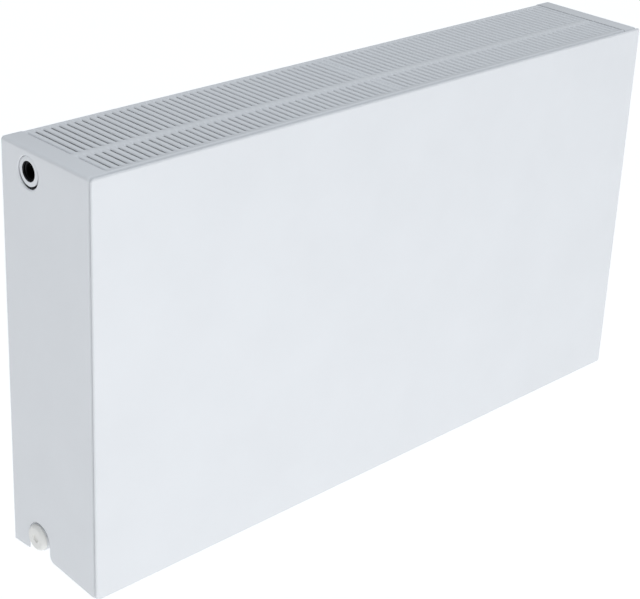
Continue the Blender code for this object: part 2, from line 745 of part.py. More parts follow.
make_panels()
make_convectors()
make_hub("hub_top_left", -1, HUB_HIGH_Z)
make_hub("hub_bottom_left", -1, HUB_LOW_Z)
make_hub("hub_bottom_right", 1, HUB_LOW_Z)
make_hub("valve_hub", 1, HUB_HIGH_Z, riser_side=True)
for side_name, side in (("left", -1), ("right", 1)):
    make_spacer(f"spacer_top_{side_name}", side * HUB_X, HUB_HIGH_Z)
    make_spacer(f"spacer_bottom_{side_name}", side * HUB_X, HUB_LOW_Z)
    make_side_cover(f"side_cover_{side_name}", side)
make_plug("plug_bottom_left", Matrix.Rotation(pi, 3, "Z"))
make_plug("plug_bottom_right", Matrix())
make_bottom_connections()
make_riser()
make_front_plate()
make_bonding_strips()
make_grille()
make_grille_support()
make_grille_clips()
make_lugs()
make_valve()
make_cap()
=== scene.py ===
from math import cos, pi, radians, sin

import bmesh
import bpy
from bpy.props import FloatProperty, FloatVectorProperty, IntProperty, PointerProperty, StringProperty
from mathutils import Matrix, Vector


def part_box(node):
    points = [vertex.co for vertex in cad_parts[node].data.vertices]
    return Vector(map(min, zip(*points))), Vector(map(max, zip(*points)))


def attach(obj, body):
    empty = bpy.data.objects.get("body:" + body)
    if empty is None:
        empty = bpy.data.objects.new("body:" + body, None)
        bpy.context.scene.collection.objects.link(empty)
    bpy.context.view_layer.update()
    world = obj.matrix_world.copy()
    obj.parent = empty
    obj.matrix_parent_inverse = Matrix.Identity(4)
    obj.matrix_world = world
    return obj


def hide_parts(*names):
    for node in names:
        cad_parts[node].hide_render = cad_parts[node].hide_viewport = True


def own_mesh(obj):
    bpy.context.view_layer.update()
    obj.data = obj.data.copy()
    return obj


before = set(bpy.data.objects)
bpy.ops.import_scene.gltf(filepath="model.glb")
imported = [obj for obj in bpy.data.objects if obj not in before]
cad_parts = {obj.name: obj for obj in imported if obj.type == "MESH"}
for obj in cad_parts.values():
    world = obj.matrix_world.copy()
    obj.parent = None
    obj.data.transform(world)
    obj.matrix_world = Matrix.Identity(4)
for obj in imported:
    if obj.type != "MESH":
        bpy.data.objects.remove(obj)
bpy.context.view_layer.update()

bl_info = {
    "name": "Panel radiator with valve",
    "version": (1, 0, 0),
    "blender": (4, 5, 0),
    "location": "3D View > Sidebar > Radiator",
    "description": "Sheet metal, pressings, fittings and finishes of a flat-fronted panel radiator",
    "category": "Object",
}

# Every shape is laid out in the radiator's own coordinates: X from the middle of its length, Y back
# from the front face and Z up from the bottom edge. HOME carries them to the frame's place.
FRONT_LOW = Vector(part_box("front_plate")[0])
HOME = Matrix.Translation((0.0, FRONT_LOW.y, FRONT_LOW.z))


def local_box(node):
    """The lowest and highest corner of a CAD node, in the radiator's own coordinates."""
    low, high = (Vector(corner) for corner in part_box(node))
    return low - HOME.translation, high - HOME.translation


PLATE_LOW, PLATE_HIGH = local_box("front_plate")
COVER_LOW, COVER_HIGH = local_box("side_cover_left")
GRILLE_LOW, GRILLE_HIGH = local_box("top_grille")
CAP_LOW, CAP_HIGH = local_box("hand_cap")
PLUG_LOW, PLUG_HIGH = local_box("plug_bottom_left")
HUB_LOW, HUB_HIGH = local_box("hub_top_left")
HUB_LINE = ((PLUG_LOW.y + PLUG_HIGH.y) / 2, (HUB_LOW.z + HUB_HIGH.z) / 2)
PLUG_LINE = (HUB_LINE[0], (PLUG_LOW.z + PLUG_HIGH.z) / 2)
MM = 0.001
ALL_ROUND = 2 * pi


# ---------------------------------------------------------------- settings


def length(name, description, default):
    """A size in metres."""
    return FloatProperty(name=name, description=description, default=default, min=0.0, unit="LENGTH", precision=5)


def colour(name, description, default):
    """A base colour as text."""
    return StringProperty(name=name, description=f"{description}, as an sRGB hex value", default=default)


class SheetSizes(bpy.types.PropertyGroup):
    """Sizes of the casing's sheet metal."""

    plate_sheet: length("Front sheet", "Thickness of the flat front", 1.2 * MM)
    plate_corner: length("Front corner", "Corner radius of the flat front, seen from the front", 4.5 * MM)
    plate_edge: length("Front edge", "Radius of the folded edge round the flat front", 2.3 * MM)
    cover_sheet: length("Cover sheet", "Thickness of a side cover", 1.0 * MM)
    cover_bend: length("Cover bend", "Outer radius of a side cover's bends", 4.6 * MM)
    cover_lip: length("Cover lip", "Width of the lips that a side cover turns in front and behind", 9.0 * MM)
    cover_shoulder: length("Cover shoulder", "Height of the full-width front of the cover's top", 12.0 * MM)
    hole: length("Hole", "Radius of the round hole over a socket, at its neck", 18.1 * MM)
    hole_drop: length("Hole drop", "How far that hole hangs below the socket's axis", 1.4 * MM)
    hole_roll: length("Hole roll", "Radius of the rolled rim of that hole", 1.5 * MM)
    notch: length("Notch", "Half the width of the notch over the lower socket", 19.3 * MM)
    grille_sheet: length("Grille sheet", "Thickness of the top grille", 1.0 * MM)
    slot_pitch: length("Slot pitch", "Distance from one grille slot to the next", 10.0 * MM)
    first_bar: length("First bar", "Distance from the grille's left end to its first bar", 8.3 * MM)
    slot_draw: length("Slot draw", "How far a slot's edges are drawn down between the bars", 2.0 * MM)


class WaterSizes(bpy.types.PropertyGroup):
    """Sizes of the water-carrying parts and their fittings."""

    panel_sheet: length("Panel sheet", "Thickness of a pressed half of a panel", 1.2 * MM)
    channels: IntProperty(name="Channels", description="Water channels in each panel", default=26, min=1)
    channel_pitch: length("Channel pitch", "Distance from one channel to the next", 100 / 3 * MM)
    land_half: length("Land", "Half the width between two channels", 7.7 * MM)
    header: length("Header", "Height of the header along a panel's top or bottom", 27.5 * MM)
    seam: length("Seam", "Width of the welded seam round a panel", 5.0 * MM)
    fin_sheet: length("Fin sheet", "Thickness of a convector", 0.5 * MM)
    fin_bend: length("Fin bend", "Radius of a convector's bends", 1.6 * MM)
    hub: length("Tee", "Radius of the tube between two panels", 11.5 * MM)
    socket: length("Socket", "Outer radius of a socket", 16.5 * MM)
    thread_pitch: length("Thread pitch", "Pitch of a 14 per inch pipe thread", 1.814 * MM)
    grip_grooves: IntProperty(name="Grip grooves", description="Grooves round the hand cap", default=30, min=3)
    riser: length("Riser", "Radius of the supply pipe", 8.0 * MM)


class Finishes(bpy.types.PropertyGroup):
    """Base colours of the materials."""

    coat: colour("Powder coat", "White coat of the casing", "#E6E8EB")
    # The enamel's white is set brighter than the coat's: painted light for the dim inside of the radiator.
    enamel: colour("Stove enamel", "White enamel of the panels and convectors", "#F2F4F6")
    white_plastic: colour("White plastic", "Moulded plugs and cap", "#F3F2EE")
    grey_plastic: colour("Grey plastic", "Moulded setting ring", "#5B5D61")
    brass: colour("Brass", "Turned brass", "#CFAE72")
    steel: colour("Bright steel", "Turned and drawn steel", "#B4B5B6")
    # The bare thread's nearly black colour is painted shade for the deep bore of a socket.
    bare_steel_and_painted_shade: colour("Bare thread with painted shade", "Cut thread inside a socket", "#2E2F31")
    rubber: colour("Rubber", "Seals", "#1C1C1D")
    adhesive: colour("Adhesive", "Cured bonding strips", "#9E9D98")
    floor: colour("Floor", "Pale floor", "#F4F4F4")


class StageSizes(bpy.types.PropertyGroup):
    """Floor, camera and light."""

    floor_drop: length("Floor drop", "Height of the hung radiator above the floor", 0.55)
    floor_glow: FloatProperty(name="Floor glow", description="Light given off by the lit floor", default=0.40)
    lens: FloatProperty(name="Lens", description="Focal length on a 36 mm wide sensor, in mm", default=94.257)
    camera_place: FloatVectorProperty(
        name="Camera place", description="Place of the camera", subtype="TRANSLATION", unit="LENGTH",
        default=(-1.3641, -1.4135, 0.7066),
    )
    camera_turn: FloatVectorProperty(
        name="Camera turn", description="Turn of the camera about X, Y and Z", subtype="EULER", unit="ROTATION",
        default=(radians(66.019), radians(-2.825), radians(-44.438)),
    )
    shift: FloatVectorProperty(
        name="Shift", description="Shift of the lens across and up", size=2, default=(-0.0403, -0.0769)
    )
    sky_side: FloatProperty(name="Side light", description="Brightness of the studio at its sides", default=0.12)
    sky_up: FloatProperty(name="Top light", description="Brightness added overhead", default=0.92)
    sky_left: FloatProperty(name="Left shade", description="Brightness taken away on the left", default=0.12)
    softbox: FloatProperty(name="Softbox", description="Power of the light in front", default=15.5, unit="POWER")


# ---------------------------------------------------------------- materials


def linear(code):
    """An sRGB hex value as linear red, green, blue and alpha."""
    parts = [int(code[i : i + 2], 16) / 255 for i in (1, 3, 5)]
    return (*(c / 12.92 if c <= 0.04045 else ((c + 0.055) / 1.055) ** 2.4 for c in parts), 1.0)


def per(size):
    """The pattern scale whose features are this many metres across."""
    return 1.0 / size


def add_node(tree, kind, values=(), links=(), **settings):
    """One node with its settings, its sockets' values and the links into it."""
    node = tree.nodes.new(kind)
    for name, value in settings.items():
        setattr(node, name, value)
    for socket, value in dict(values).items():
        node.inputs[socket].default_value = value
    for socket, source in dict(links).items():
        tree.links.new(source, node.inputs[socket])
    return node


def start_material(name):
    """A new material's tree, its Principled shader and the object's own coordinates."""
    material = bpy.data.materials.new(name)
    material.use_nodes = True
    tree = material.node_tree
    tree.nodes.clear()
    shader = add_node(tree, "ShaderNodeBsdfPrincipled")
    add_node(tree, "ShaderNodeOutputMaterial", links={"Surface": shader.outputs["BSDF"]})
    where = add_node(tree, "ShaderNodeTexCoord").outputs["Object"]
    return material, tree, shader, where


def tint(tree, shader, where, code, size, low, high):
    """Drifts the base colour between two brightnesses of it over patches of the given size."""
    noise = add_node(
        tree, "ShaderNodeTexNoise", {"Scale": per(size), "Detail": 3.0, "Roughness": 0.55}, {"Vector": where}
    )
    red, green, blue, _ = linear(code)
    ramp = add_node(tree, "ShaderNodeValToRGB", links={"Fac": noise.outputs["Fac"]})
    ramp.color_ramp.elements[0].position = 0.3
    ramp.color_ramp.elements[0].color = (red * low, green * low, blue * low, 1.0)
    ramp.color_ramp.elements[1].position = 0.7
    ramp.color_ramp.elements[1].color = (red * high, green * high, blue * high, 1.0)
    tree.links.new(ramp.outputs["Color"], shader.inputs["Base Color"])


def vary_roughness(tree, shader, where, size, low, high):
    """Lets the roughness wander between two values over patches of the given size."""
    noise = add_node(tree, "ShaderNodeTexNoise", {"Scale": per(size), "Detail": 2.0}, {"Vector": where})
    spread = add_node(
        tree, "ShaderNodeMapRange", {"To Min": low, "To Max": high}, {"Value": noise.outputs["Fac"]}
    )
    tree.links.new(spread.outputs["Result"], shader.inputs["Roughness"])


def bump(tree, shader, height, strength, depth, under=None):
    """Raises the surface by the given height, on top of another bump where there is one."""
    links = {"Height": height}
    if under:
        links["Normal"] = under.outputs["Normal"]
    node = add_node(tree, "ShaderNodeBump", {"Strength": strength, "Distance": depth}, links)
    tree.links.new(node.outputs["Normal"], shader.inputs["Normal"])
    return node


def coated_steel(name, code, ripple, depth, gloss, low, high):
    """Painted sheet: an even film with a slight orange peel, satin, with faint drifts of tone."""
    material, tree, shader, where = start_material(name)
    tint(tree, shader, where, code, 0.09, low, high)
    vary_roughness(tree, shader, where, 0.05, gloss - 0.04, gloss + 0.04)
    peel = add_node(
        tree, "ShaderNodeTexNoise", {"Scale": per(ripple), "Detail": 2.0, "Roughness": 0.5}, {"Vector": where}
    )
    first = bump(tree, shader, peel.outputs["Fac"], 0.35, depth)
    grain = add_node(tree, "ShaderNodeTexNoise", {"Scale": per(ripple / 6), "Detail": 1.0}, {"Vector": where})
    bump(tree, shader, grain.outputs["Fac"], 0.2, depth / 5, first)
    shader.inputs["IOR"].default_value = 1.5
    shader.inputs["Coat Weight"].default_value = 0.15
    shader.inputs["Coat Roughness"].default_value = 0.25
    return material


def moulded_plastic(name, code, gloss):
    """Injection-moulded plastic: satin, very slightly uneven, with a fine spark-eroded grain."""
    material, tree, shader, where = start_material(name)
    tint(tree, shader, where, code, 0.02, 0.97, 1.02)
    vary_roughness(tree, shader, where, 0.012, gloss - 0.05, gloss + 0.05)
    grain = add_node(
        tree, "ShaderNodeTexVoronoi", {"Scale": per(0.0005)}, {"Vector": where}, feature="SMOOTH_F1"
    )
    bump(tree, shader, grain.outputs["Distance"], 0.25, 0.00003)
    shader.inputs["IOR"].default_value = 1.46
    return material


def turned_metal(name, code, gloss, ring, axis):
    """Metal cut on a lathe: fine rings across its axis and a soft drift of tone."""
    material, tree, shader, where = start_material(name)
    tint(tree, shader, where, code, 0.006, 0.9, 1.06)
    vary_roughness(tree, shader, where, 0.004, gloss - 0.07, gloss + 0.08)
    rings = add_node(
        tree, "ShaderNodeTexWave", {"Scale": per(ring) / 20, "Distortion": 0.6, "Detail": 1.0},
        {"Vector": where}, bands_direction=axis,
    )
    bump(tree, shader, rings.outputs["Fac"], 0.3, 0.00002)
    shader.inputs["Metallic"].default_value = 1.0
    return material


def make_materials(finish):
    """All finishes, by the record's slot or by a word for the place they are used."""
    materials = {}
    # Polyester powder coat on steel: white, satin, a wavy film that softens every reflection.
    # Its orange peel is drawn at 2.5 mm, about twice the real width, so that it shows at this distance.
    materials["coat"] = coated_steel(
        "Powder coated steel, sprayed and baked", finish.coat, 0.0025, 0.00006, 0.36, 0.985, 1.01
    )
    # Stove enamel dipped over the panels: thinner and a little greyer, and it runs more. Its white is real but set
    # brighter than the coat's, as painted light for the dim inside of the radiator.
    materials["enamel"] = coated_steel(
        "Stove enamelled steel, dipped and baked", finish.enamel, 0.004, 0.00008, 0.42, 0.96, 1.01
    )
    # White ABS: a warmer white than the paint round it, with soft wide highlights.
    materials["white_plastic"] = moulded_plastic("White ABS, moulded", finish.white_plastic, 0.38)
    # Glass-filled nylon: mid grey with a dull grain.
    materials["grey_plastic"] = moulded_plastic("Grey nylon, moulded", finish.grey_plastic, 0.5)
    # Brass and steel: warm or neutral metal with rings that stretch the highlight round the part.
    materials["brass"] = turned_metal("Brass, turned", finish.brass, 0.28, 0.0004, "X")
    materials["steel"] = turned_metal("Zinc plated steel, turned", finish.steel, 0.32, 0.0004, "Z")
    # The cut thread in a socket: oiled bare steel with thin glints on its crests; its nearly black base colour is
    # painted shade for the deep bore.
    materials["bare_steel_and_painted_shade"] = turned_metal("Bare steel, threaded and oiled, with painted shade", finish.bare_steel_and_painted_shade, 0.34, 0.0003, "X")

    # EPDM rubber: black and dull with a faint bloom.
    rubber, tree, shader, where = start_material("Black EPDM, moulded")
    tint(tree, shader, where, finish.rubber, 0.004, 0.8, 1.5)
    vary_roughness(tree, shader, where, 0.003, 0.55, 0.75)
    shader.inputs["IOR"].default_value = 1.5
    materials["rubber"] = rubber

    # Elastic adhesive laid as a bead: matt grey, slightly lumpy.
    adhesive, tree, shader, where = start_material("Grey elastic adhesive, cured")
    tint(tree, shader, where, finish.adhesive, 0.01, 0.9, 1.06)
    lumps = add_node(tree, "ShaderNodeTexNoise", {"Scale": per(0.004), "Detail": 3.0}, {"Vector": where})
    bump(tree, shader, lumps.outputs["Fac"], 0.5, 0.0003)
    shader.inputs["Roughness"].default_value = 0.8
    materials["adhesive"] = adhesive
    return materials


MATERIALS = {}


# ---------------------------------------------------------------- mesh helpers


def add_piece(name, bm, look, body, nodes, inner=None, sharp=32.0):
    """Makes the mesh an object in the frame's place, with its finish, body and the nodes it stands for.

    inner is a second finish and a test of a face's middle, for the faces that take it.
    """
    if inner:
        for face in bm.faces:
            face.material_index = int(inner[1](face.calc_center_median()))
    bm.transform(HOME)
    mesh = bpy.data.meshes.new(name)
    bm.to_mesh(mesh)
    bm.free()
    mesh.shade_smooth()
    mesh.set_sharp_from_angle(angle=radians(sharp))
    mesh.materials.append(MATERIALS[look])
    if inner:
        mesh.materials.append(MATERIALS[inner[0]])
    piece = bpy.data.objects.new(name, mesh)
    bpy.context.scene.collection.objects.link(piece)
    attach(piece, body)
    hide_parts(*nodes)
    return piece


def join(bm, other):
    """Adds another bmesh to this one."""
    mesh = bpy.data.meshes.new("join")
    other.to_mesh(mesh)
    other.free()
    bm.from_mesh(mesh)
    bpy.data.meshes.remove(mesh)


def tidy(bm):
    """Merges doubles and turns every face outwards, before a wall gets its thickness."""
    bmesh.ops.remove_doubles(bm, verts=bm.verts, dist=1e-6)
    bmesh.ops.recalc_face_normals(bm, faces=bm.faces)


def bevelled(bm, geom, offset, segments, affect="EDGES"):
    """Rounds off edges or, with VERTICES, the corners of a flat face."""
    bmesh.ops.bevel(
        bm, geom=geom, offset=offset, segments=segments, profile=0.5, affect=affect, material=-1,
        clamp_overlap=True,
    )


def line(bm, points, closed=False):
    """Joined edges through the points."""
    verts = [bm.verts.new(point) for point in points]
    ends = verts[1:] + verts[:1] if closed else verts[1:]
    return [bm.edges.new(pair) for pair in zip(verts, ends)]


def sweep(bm, edges, step):
    """Extrudes edges by a step and returns the new ones."""
    made = bmesh.ops.extrude_edge_only(bm, edges=edges)["geom"]
    bmesh.ops.translate(bm, verts=[v for v in made if isinstance(v, bmesh.types.BMVert)], vec=step)
    return [e for e in made if isinstance(e, bmesh.types.BMEdge)]


AXES = {
    "X": (Vector((1, 0, 0)), Vector((0, 0, 1))),
    "Y": (Vector((0, 1, 0)), Vector((0, 0, 1))),
    "Z": (Vector((0, 0, 1)), Vector((1, 0, 0))),
}


def lathe(profile, centre, axis, steps=48, closed=False):
    """Turns a profile of (distance along, radius) about an axis through the centre."""
    along, out = AXES[axis]
    bm = bmesh.new()
    centre = Vector(centre)
    edges = line(bm, [centre + along * a + out * r for a, r in profile], closed)
    geom = list(bm.verts) + edges
    bmesh.ops.spin(
        bm, geom=geom, cent=centre, axis=along, dvec=(0, 0, 0), angle=ALL_ROUND, steps=steps, use_merge=True,
        use_duplicate=False,
    )
    tidy(bm)
    return bm


def thread(start, turns, root, crest, pitch, centre, axis, steps=32):
    """A screw thread: one tooth carried round its axis, a pitch forward each turn."""
    along, out = AXES[axis]
    bm = bmesh.new()
    centre = Vector(centre)
    tooth = [(0.0, root), (0.15, root), (0.45, crest), (0.6, crest), (1.0, root)]
    edges = line(bm, [centre + along * (start + a * pitch) + out * r for a, r in tooth])
    geom = list(bm.verts) + edges
    bmesh.ops.spin(
        bm, geom=geom, cent=centre, axis=along, dvec=along * pitch / steps, angle=ALL_ROUND * turns,
        steps=steps * turns, use_merge=False, use_duplicate=False,
    )
    bmesh.ops.remove_doubles(bm, verts=bm.verts, dist=1e-6)
    return bm


def softened(node, offset, segments=2, fold=24.0):
    """A copy of a CAD node with its loose triangles merged and its sharp edges rounded off."""
    bm = bmesh.new()
    bm.from_mesh(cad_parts[node].data)
    bm.transform(HOME.inverted())
    tidy(bm)
    bmesh.ops.dissolve_limit(bm, angle_limit=radians(0.6), verts=bm.verts, edges=bm.edges)
    edges = [e for e in bm.edges if len(e.link_faces) == 2 and e.calc_face_angle(0) > radians(fold)]
    bevelled(bm, edges, offset, segments)
    return bm


def cut_with(piece, tool):
    """Cuts a tool's solid out of a finished piece and removes the tool."""
    tool.transform(HOME)
    mesh = bpy.data.meshes.new("tool")
    tool.to_mesh(mesh)
    tool.free()
    cutter = bpy.data.objects.new("tool", mesh)
    bpy.context.scene.collection.objects.link(cutter)
    modifier = piece.modifiers.new("cut", "BOOLEAN")
    modifier.operation = "DIFFERENCE"
    modifier.solver = "EXACT"
    modifier.object = cutter
    bpy.context.view_layer.update()
    evaluated = piece.evaluated_get(bpy.context.evaluated_depsgraph_get())
    old = piece.data
    piece.data = bpy.data.meshes.new_from_object(evaluated)
    piece.modifiers.clear()
    piece.data.name = old.name
    bpy.data.meshes.remove(old)
    bpy.data.objects.remove(cutter)
    bpy.data.meshes.remove(mesh)
    piece.data.shade_smooth()
    piece.data.set_sharp_from_angle(angle=radians(32.0))


# ---------------------------------------------------------------- casing


def front_plate(sizes):
    """A shallow tray: the flat front with its edges folded back."""
    middle = (PLATE_LOW + PLATE_HIGH) / 2
    bm = bmesh.new()
    scale = Matrix.Diagonal((*(PLATE_HIGH - PLATE_LOW), 1.0))
    bmesh.ops.create_cube(bm, size=1.0, matrix=Matrix.Translation(middle) @ scale)
    back = [f for f in bm.faces if f.calc_center_median().y > PLATE_HIGH.y - 1e-5]
    bmesh.ops.delete(bm, geom=back, context="FACES_ONLY")
    corners = [e for e in bm.edges if abs(e.verts[0].co.y - e.verts[1].co.y) > 1e-4]
    bevelled(bm, corners, sizes.plate_corner, 8)
    front = [e for e in bm.edges if all(v.co.y < PLATE_LOW.y + 1e-5 for v in e.verts)]
    bevelled(bm, front, sizes.plate_edge, 6)
    tidy(bm)
    bmesh.ops.solidify(bm, geom=bm.faces[:], thickness=sizes.plate_sheet)
    add_piece("front_plate_coated", bm, "coat", "radiator", ["front_plate"])


# The lower notch lies a little in front of the socket's axis. A cover's lower edge climbs by these
# heights from its front corner to the notch's near side, its far side and the rear corner.
NOTCH_FORWARD = 2.5 * MM
NEAR_RISE, FAR_RISE, BACK_RISE = 6.6 * MM, 4.2 * MM, 2.4 * MM


def foot_line(front, back, arch, sizes):
    """The lower edge of a side cover, with the notch for the lower socket, as (y, z) from front to back."""
    middle = HUB_LINE[0] - NOTCH_FORWARD
    near, far = middle - sizes.notch, middle + sizes.notch
    foot = COVER_LOW.z
    return [
        (front, foot), (near, foot + NEAR_RISE), (near, arch), (far, arch), (far, foot + FAR_RISE),
        (back, foot + BACK_RISE),
    ]


def side_cover(side, sizes):
    """A cover folded from one sheet: its outer wall, its top and its front and rear lips."""
    low, high = COVER_LOW, COVER_HIGH
    arch = PLUG_LINE[1] + sizes.notch
    outline = [(low.y, high.z), *foot_line(low.y, high.y, arch, sizes), (high.y, high.z)]
    bm = bmesh.new()
    verts = [bm.verts.new((low.x, y, z)) for y, z in outline]
    bm.faces.new(verts)
    depth = high.x - low.x
    tips = {verts[3], verts[4]}
    feet = [verts[2], verts[5]]
    folds = [e for e in bm.edges if not {verts[0], verts[7]}.isdisjoint(e.verts)]
    made = bmesh.ops.extrude_edge_only(bm, edges=folds)["geom"]
    bmesh.ops.translate(bm, verts=[v for v in made if isinstance(v, bmesh.types.BMVert)], vec=(depth, 0, 0))
    bevelled(bm, list(tips), sizes.notch - 1e-5, 14, "VERTICES")
    bevelled(bm, feet[:1], 7.0 * MM, 6, "VERTICES")
    bevelled(bm, feet[1:], 2.5 * MM, 4, "VERTICES")
    sharp = [e for e in bm.edges if len(e.link_faces) == 2]
    bevelled(bm, sharp, sizes.cover_bend, 7)
    lip, shoulder = low.x + sizes.cover_lip, high.z - sizes.cover_shoulder
    for place, across in (((lip, 0, 0), (1, 0, 0)), ((0, 0, shoulder), (0, 0, 1))):
        everything = bm.verts[:] + bm.edges[:] + bm.faces[:]
        bmesh.ops.bisect_plane(bm, geom=everything, plane_co=place, plane_no=across)
    spare = [f for f in bm.faces if f.calc_center_median().x > lip and f.calc_center_median().z < shoulder]
    bmesh.ops.delete(bm, geom=spare, context="FACES")
    tidy(bm)
    if min(bm.faces, key=lambda f: f.calc_center_median().x).normal.x > 0:
        bmesh.ops.reverse_faces(bm, faces=bm.faces)
    bmesh.ops.solidify(bm, geom=bm.faces[:], thickness=sizes.cover_sheet)
    if side > 0:
        bmesh.ops.scale(bm, vec=(-1, 1, 1), verts=bm.verts)
        bmesh.ops.reverse_faces(bm, faces=bm.faces)
    name = "left" if side < 0 else "right"
    piece = add_piece(f"side_cover_{name}_coated", bm, "coat", "radiator", [f"side_cover_{name}"])
    outer = sizes.hole + sizes.hole_roll
    reach = 10.0 * MM
    face = side * abs(low.x)
    # The valve's end keeps its hole on the axis, so that the hand cap turns clear of it.
    centre = (0, HUB_LINE[0], HUB_LINE[1] - (sizes.hole_drop if side < 0 else 0.0))
    near, far = face - reach, face + reach
    cut_with(piece, lathe([(near, 0), (near, outer), (far, outer), (far, 0)], centre, "X", 72))
    hole_rim(side, face, centre, sizes, name)


def hole_rim(side, face, centre, sizes, name):
    """The rim of the hole, rolled inwards from the cover's face."""
    roll, neck, sheet = sizes.hole_roll, sizes.hole, sizes.cover_sheet
    steps = 6
    turns = [pi / 2 * i / steps for i in range(steps + 1)]
    inward = -side
    profile = [(face + inward * roll * (1 - cos(a)), neck + roll * (1 - sin(a))) for a in turns]
    profile += [(face + inward * (roll + 0.7 * MM), neck)]
    profile += [(face + inward * (roll + 0.7 * MM), neck + 0.8 * sheet)]
    profile += [(face + inward * sheet, neck + roll)]
    rim = lathe(profile, centre, "X", 72, closed=True)
    add_piece(f"hole_rim_{name}", rim, "coat", "radiator", [])


# The grille's front bead and one bar, in mm: (back, up) from the front edge, and (from the bar's
# middle, share of the slot's draw). SLOT_ROWS are the front and rear end of each row of slots.
FRONT_BEAD = (
    (0.0, -4.5), (0.2, -3.0), (0.9, -1.7), (1.8, -0.55), (2.8, 0.25), (3.8, 0.7), (4.8, 0.85), (5.7, 0.65),
    (6.5, 0.2), (7.3, 0.0),
)
BAR_SECTION = ((0.0, 0.0), (1.1, 0.03), (2.1, 0.14), (2.9, 0.4), (3.45, 0.74), (3.7, 1.0))
SLOT_ROWS = ((16.0 * MM, 64.9 * MM), (73.0 * MM, 154.5 * MM))


def grille_rows():
    """The grille's section from front bead to rear lip: (y, z above the top, share of the draw, slot)."""
    back, bend = GRILLE_HIGH.y, 3.0 * MM
    rows = [(GRILLE_LOW.y + y * MM, z * MM, 0, False) for y, z in FRONT_BEAD]
    for start, end in SLOT_ROWS:
        rows += [(start, 0, 0, False), (start + 1.0 * MM, 0, 0.35, False), (start + 1.8 * MM, 0, 0.8, False)]
        rows += [(start + 2.5 * MM, 0, 1, True), (end - 3.2 * MM, 0, 1, False), (end - 2.5 * MM, 0, 0.86, False)]
        rows += [(end - 1.1 * MM, 0, 0.3, False), (end, 0, 0, False)]
    for i in range(5):
        angle = pi / 2 * i / 4
        rows.append((back - bend * (1 - sin(angle)), -bend * (1 - cos(angle)), 0, False))
    return rows


def draw_at(x, sizes):
    """The share of the draw along the grille: none on a bar's crown, all of it at a slot's edge."""
    pitch = sizes.slot_pitch
    place = (x - GRILLE_LOW.x - sizes.first_bar) / pitch
    off = abs(place - round(place)) * pitch / MM
    for (near, low), (far, high) in zip(BAR_SECTION, BAR_SECTION[1:]):
        if off <= far:
            return low + (high - low) * (off - near) / (far - near)
    return 1.0


def top_grille(sizes):
    """The top sheet: bars between drawn-down slots, swept from the front bead to the rear lip."""
    top = GRILLE_HIGH.z - 0.05 * MM
    low, high = GRILLE_LOW.x, GRILLE_HIGH.x
    bars = range(-1, round((high - low) / sizes.slot_pitch) + 1)
    places = [low + sizes.first_bar + sizes.slot_pitch * bar for bar in bars]
    columns = {place + sign * off * MM for place in places for off, _ in BAR_SECTION for sign in (-1, 1)}
    columns = [low, *sorted(x for x in columns if low + 0.2 * MM < x < high - 0.2 * MM), high]
    columns = [x for x, after in zip(columns, columns[1:] + [1.0]) if after - x > 1e-6]
    rows = grille_rows()
    bm = bmesh.new()
    edge = line(bm, [(x, rows[0][0], top + rows[0][1]) for x in columns])
    slots = []
    for before, row in zip(rows, rows[1:]):
        old = set(bm.faces)
        edge = sweep(bm, edge, (0, row[0] - before[0], row[1] - before[1]))
        if before[3]:
            slots += [f for f in bm.faces if f not in old and draw_at(f.calc_center_median().x, sizes) > 0.999]
    share = {round(row[0], 6): row[2] for row in rows}
    for vert in bm.verts:
        vert.co.z -= sizes.slot_draw * share[round(vert.co.y, 6)] * draw_at(vert.co.x, sizes)
    bmesh.ops.delete(bm, geom=slots, context="FACES")
    tidy(bm)
    if max(bm.faces, key=lambda f: f.calc_center_median().z).normal.z < 0:
        bmesh.ops.reverse_faces(bm, faces=bm.faces)
    bmesh.ops.solidify(bm, geom=bm.faces[:], thickness=sizes.grille_sheet)
    add_piece("top_grille_coated", bm, "coat", "radiator", ["top_grille"], sharp=50.0)


# ---------------------------------------------------------------- panels and convectors


def smooth(value):
    """An S-shaped step from 0 to 1."""
    value = min(max(value, 0.0), 1.0)
    return value * value * (3 - 2 * value)


def pressed_shell(node, sizes):
    """Half a panel: headers and channels pressed out of the sheet, with soft slopes down to the seam."""
    low, high = local_box(node)
    forward = "front_shell" in node
    slope = 3.4 * MM
    land_end = low.z + sizes.seam + slope + sizes.header
    land_top = low.z + high.z - land_end
    steps = [0.0, 0.3, 0.5, 0.7, 1.0]
    border = [0.0, *(sizes.seam + slope * s for s in steps)]
    columns = {low.x + b for b in border} | {high.x - b for b in border}
    lands = [(i - sizes.channels / 2 + 1) * sizes.channel_pitch for i in range(sizes.channels - 1)]
    for middle in lands:
        columns |= {middle + sign * (sizes.land_half - slope * s) for s in steps for sign in (-1, 1)}
    fade = 5.0 * MM
    levels = {low.z + b for b in border} | {high.z - b for b in border}
    levels |= {land_end + fade * s for s in steps} | {land_top - fade * s for s in steps}
    columns, levels = sorted(columns), sorted(levels)
    base = high.y if forward else low.y
    bm = bmesh.new()
    edge = line(bm, [(x, 0, levels[0]) for x in columns])
    for before, level in zip(levels, levels[1:]):
        edge = sweep(bm, edge, (0, 0, level - before))
    press = high.y - low.y - sizes.panel_sheet
    away = -1 if forward else 1
    for vert in bm.verts:
        x, _, z = vert.co
        inside = min(x - low.x, high.x - x, z - low.z, high.z - z)
        rise = smooth((inside - sizes.seam) / slope)
        nearest = min(abs(x - middle) for middle in lands)
        land = smooth((sizes.land_half - nearest) / slope)
        window = smooth((z - land_end) / fade) * smooth((land_top - z) / fade)
        vert.co.y = base + away * (sizes.panel_sheet + press * rise * (1 - land * window))
    tidy(bm)
    bm.faces.ensure_lookup_table()
    if bm.faces[0].normal.y * away < 0:
        bmesh.ops.reverse_faces(bm, faces=bm.faces)
    bmesh.ops.solidify(bm, geom=bm.faces[:], thickness=sizes.panel_sheet)
    add_piece(f"{node}_enamelled", bm, "enamel", "radiator", [node])


